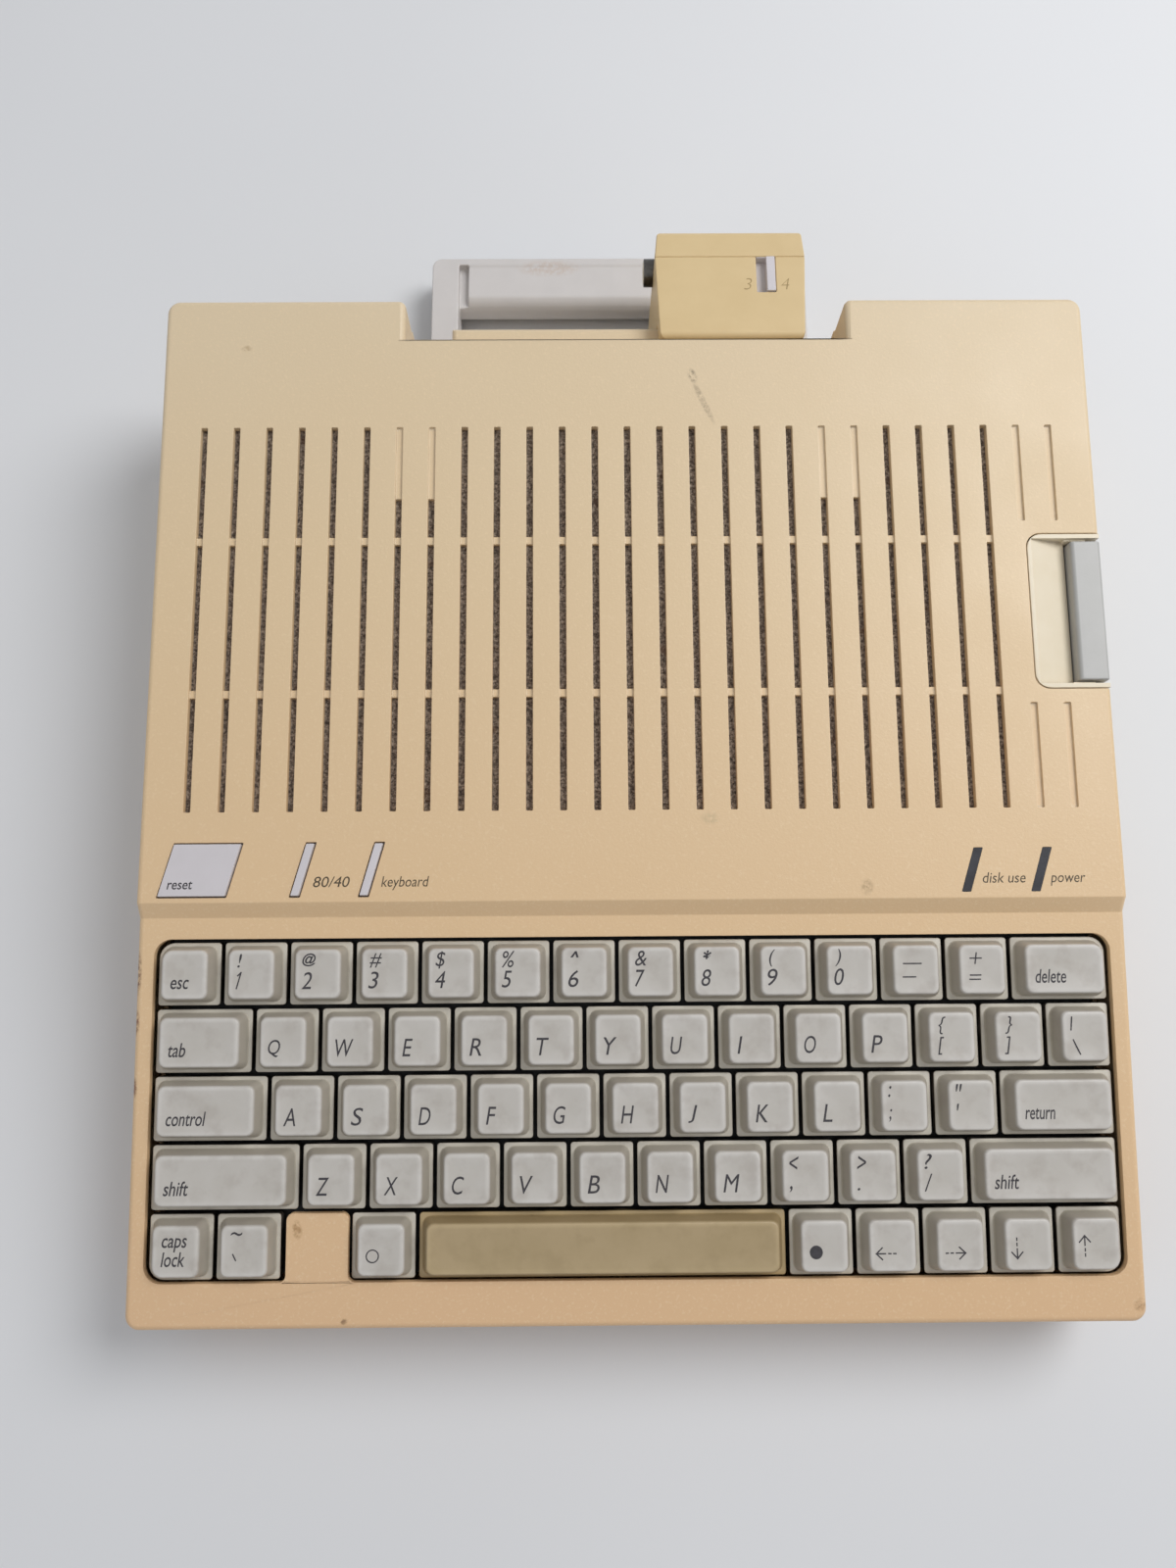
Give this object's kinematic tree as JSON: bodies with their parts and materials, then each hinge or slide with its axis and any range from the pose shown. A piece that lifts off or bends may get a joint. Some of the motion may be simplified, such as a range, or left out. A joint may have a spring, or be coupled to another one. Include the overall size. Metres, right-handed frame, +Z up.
{
  "type": "vintage home computer",
  "caption": "Wedge-shaped home computer with built-in keyboard, side disk slot, vented deck, rear sockets, plugged-in modulator and folding carry handle.",
  "frame": {"origin": "on the desk, under the middle of the whole object's footprint, from the front edge of the case to the end of the handle", "axes": "+X to the right of a person at the keyboard, +Y from the front edge to the back, +Z up from the desk"},
  "size_m": [0.287, 0.3572, 0.0636],
  "materials": {
    "aged_case_plastic": "fine moulded texture, yellowed",
    "lower_case_plastic": "fine moulded texture, yellowed",
    "bezel_plastic": "fine moulded texture",
    "handle_plastic": "smooth moulded",
    "key_plastic": "fine moulded texture",
    "space_bar_plastic": "fine moulded texture, yellowed",
    "button_plastic": "smooth moulded",
    "latch_plastic": "smooth moulded",
    "modulator_plastic": "fine moulded texture, yellowed",
    "smoked_plastic": "smoked, glossy",
    "black_plastic": "moulded",
    "woven_screen": "dark woven mesh",
    "steel": "zinc plated",
    "blackened_steel": "painted black",
    "nickel": "bright plated",
    "circuit_board": "green solder resist",
    "foot_rubber": "soft",
    "aluminium_can": "bent sheet"
  },
  "bodies": {
    "computer": {"top_case": "aged_case_plastic", "bottom_case": "lower_case_plastic", "vent_screen": "woven_screen", "handle_pivots": "steel", "key_switches": "black_plastic", "keyboard_plate": "blackened_steel", "keyboard_circuit": "circuit_board", "control_switches": "black_plastic", "disk_lamp": "smoked_plastic", "power_lamp": "smoked_plastic", "disk_drive": "steel", "drive_bezel": "bezel_plastic", "joystick_socket": "steel", "video_expansion_socket": "steel", "disk_drive_socket": "steel", "serial_sockets": "black_plastic", "power_socket": "black_plastic", "video_socket": "nickel", "power_switch_frame": "black_plastic", "modulator_case": "modulator_plastic", "modulator_cover": "modulator_plastic", "modulator_plug": "nickel", "modulator_jack": "nickel", "headphone_socket": "black_plastic", "logic_board": "circuit_board", "board_chips": "black_plastic", "power_converter": "aluminium_can", "speaker": "black_plastic", "rubber_feet": "foot_rubber", "case_screws": "steel"},
    "handle": {"carry_handle": "handle_plastic"},
    "latch": {"drive_latch": "latch_plastic"},
    "reset": {"reset_button": "button_plastic"},
    "column_switch_button": {"column_switch": "button_plastic"},
    "layout_switch_button": {"layout_switch": "button_plastic"},
    "rocker": {"power_rocker": "black_plastic"},
    "channel_slider": {"channel_switch": "button_plastic"},
    "volume": {"volume_wheel": "black_plastic"},
    "number_row_keys": {"number_row_keys": "key_plastic"},
    "upper_row_keys": {"upper_row_keys": "key_plastic"},
    "home_row_keys": {"home_row_keys": "key_plastic"},
    "lower_row_keys": {"lower_row_keys": "key_plastic"},
    "escape_key": {"escape_key": "key_plastic"},
    "delete_key": {"delete_key": "key_plastic"},
    "tab_key": {"tab_key": "key_plastic"},
    "control_key": {"control_key": "key_plastic"},
    "return_key": {"return_key": "key_plastic"},
    "left_shift_key": {"left_shift_key": "key_plastic"},
    "right_shift_key": {"right_shift_key": "key_plastic"},
    "caps_lock_key": {"caps_lock_key": "key_plastic"},
    "grave_key": {"grave_key": "key_plastic"},
    "left_symbol_key": {"left_symbol_key": "key_plastic"},
    "space_bar": {"space_bar": "space_bar_plastic"},
    "right_symbol_key": {"right_symbol_key": "key_plastic"},
    "left_arrow_key": {"left_arrow_key": "key_plastic"},
    "right_arrow_key": {"right_arrow_key": "key_plastic"},
    "down_arrow_key": {"down_arrow_key": "key_plastic"},
    "up_arrow_key": {"up_arrow_key": "key_plastic"}
  },
  "joints": [
    {"name": "handle_hinge", "type": "hinge", "parent": "computer", "child": "handle", "pos_m": [0, 0.12165, 0.0086], "axis": [1, 0, 0], "range_deg": [-75, 0]},
    {"name": "latch_hinge", "type": "hinge", "parent": "computer", "child": "latch", "pos_m": [0.1361, 0.0253, 0.05294], "axis": [0, -0.9975, -0.0711], "range_deg": [0, 35]},
    {"name": "reset_press", "type": "slide", "parent": "computer", "child": "reset", "axis": [0, 0.0711, -0.9975], "range_m": [0, 0.0016], "stiffness_N_per_m": 600, "springref_m": -0.0006},
    {"name": "column_switch_press", "type": "slide", "parent": "computer", "child": "column_switch_button", "axis": [0, 0.0711, -0.9975], "range_m": [0, 0.0024]},
    {"name": "layout_switch_press", "type": "slide", "parent": "computer", "child": "layout_switch_button", "axis": [0, 0.0711, -0.9975], "range_m": [0, 0.0024]},
    {"name": "rocker_tilt", "type": "hinge", "parent": "computer", "child": "rocker", "pos_m": [-0.12548, 0.12195, 0.024], "axis": [1, 0, 0], "range_deg": [-16, 0]},
    {"name": "channel_slide", "type": "slide", "parent": "computer", "child": "channel_slider", "axis": [-1, 0, 0], "range_m": [0, 0.0031]},
    {"name": "volume_turn", "type": "hinge", "parent": "computer", "child": "volume", "pos_m": [-0.13215, -0.11655, 0.0145], "axis": [0, 0, 1], "range_deg": [-135, 135]},
    {"name": "number_row_press", "type": "slide", "parent": "computer", "child": "number_row_keys", "axis": [0, 0.1132, -0.9936], "range_m": [0, 0.0035], "stiffness_N_per_m": 1800, "springref_m": -0.002},
    {"name": "upper_row_press", "type": "slide", "parent": "computer", "child": "upper_row_keys", "axis": [0, 0.1132, -0.9936], "range_m": [0, 0.0035], "stiffness_N_per_m": 1950, "springref_m": -0.002},
    {"name": "home_row_press", "type": "slide", "parent": "computer", "child": "home_row_keys", "axis": [0, 0.1132, -0.9936], "range_m": [0, 0.0035], "stiffness_N_per_m": 1650, "springref_m": -0.002},
    {"name": "lower_row_press", "type": "slide", "parent": "computer", "child": "lower_row_keys", "axis": [0, 0.1132, -0.9936], "range_m": [0, 0.0035], "stiffness_N_per_m": 1500, "springref_m": -0.002},
    {"name": "escape_key_press", "type": "slide", "parent": "computer", "child": "escape_key", "axis": [0, 0.1132, -0.9936], "range_m": [0, 0.0035], "stiffness_N_per_m": 150, "springref_m": -0.002},
    {"name": "delete_key_press", "type": "slide", "parent": "computer", "child": "delete_key", "axis": [0, 0.1132, -0.9936], "range_m": [0, 0.0035], "stiffness_N_per_m": 150, "springref_m": -0.002},
    {"name": "tab_key_press", "type": "slide", "parent": "computer", "child": "tab_key", "axis": [0, 0.1132, -0.9936], "range_m": [0, 0.0035], "stiffness_N_per_m": 150, "springref_m": -0.002},
    {"name": "control_key_press", "type": "slide", "parent": "computer", "child": "control_key", "axis": [0, 0.1132, -0.9936], "range_m": [0, 0.0035], "stiffness_N_per_m": 150, "springref_m": -0.002},
    {"name": "return_key_press", "type": "slide", "parent": "computer", "child": "return_key", "axis": [0, 0.1132, -0.9936], "range_m": [0, 0.0035], "stiffness_N_per_m": 150, "springref_m": -0.002},
    {"name": "left_shift_key_press", "type": "slide", "parent": "computer", "child": "left_shift_key", "axis": [0, 0.1132, -0.9936], "range_m": [0, 0.0035], "stiffness_N_per_m": 150, "springref_m": -0.002},
    {"name": "right_shift_key_press", "type": "slide", "parent": "computer", "child": "right_shift_key", "axis": [0, 0.1132, -0.9936], "range_m": [0, 0.0035], "stiffness_N_per_m": 150, "springref_m": -0.002},
    {"name": "caps_lock_key_press", "type": "slide", "parent": "computer", "child": "caps_lock_key", "axis": [0, 0.1132, -0.9936], "range_m": [0, 0.0035], "stiffness_N_per_m": 150, "springref_m": -0.002},
    {"name": "grave_key_press", "type": "slide", "parent": "computer", "child": "grave_key", "axis": [0, 0.1132, -0.9936], "range_m": [0, 0.0035], "stiffness_N_per_m": 150, "springref_m": -0.002},
    {"name": "left_symbol_key_press", "type": "slide", "parent": "computer", "child": "left_symbol_key", "axis": [0, 0.1132, -0.9936], "range_m": [0, 0.0035], "stiffness_N_per_m": 150, "springref_m": -0.002},
    {"name": "space_bar_press", "type": "slide", "parent": "computer", "child": "space_bar", "axis": [0, 0.1132, -0.9936], "range_m": [0, 0.0035], "stiffness_N_per_m": 200, "springref_m": -0.002},
    {"name": "right_symbol_key_press", "type": "slide", "parent": "computer", "child": "right_symbol_key", "axis": [0, 0.1132, -0.9936], "range_m": [0, 0.0035], "stiffness_N_per_m": 150, "springref_m": -0.002},
    {"name": "left_arrow_key_press", "type": "slide", "parent": "computer", "child": "left_arrow_key", "axis": [0, 0.1132, -0.9936], "range_m": [0, 0.0035], "stiffness_N_per_m": 150, "springref_m": -0.002},
    {"name": "right_arrow_key_press", "type": "slide", "parent": "computer", "child": "right_arrow_key", "axis": [0, 0.1132, -0.9936], "range_m": [0, 0.0035], "stiffness_N_per_m": 150, "springref_m": -0.002},
    {"name": "down_arrow_key_press", "type": "slide", "parent": "computer", "child": "down_arrow_key", "axis": [0, 0.1132, -0.9936], "range_m": [0, 0.0035], "stiffness_N_per_m": 150, "springref_m": -0.002},
    {"name": "up_arrow_key_press", "type": "slide", "parent": "computer", "child": "up_arrow_key", "axis": [0, 0.1132, -0.9936], "range_m": [0, 0.0035], "stiffness_N_per_m": 150, "springref_m": -0.002}
  ]
}
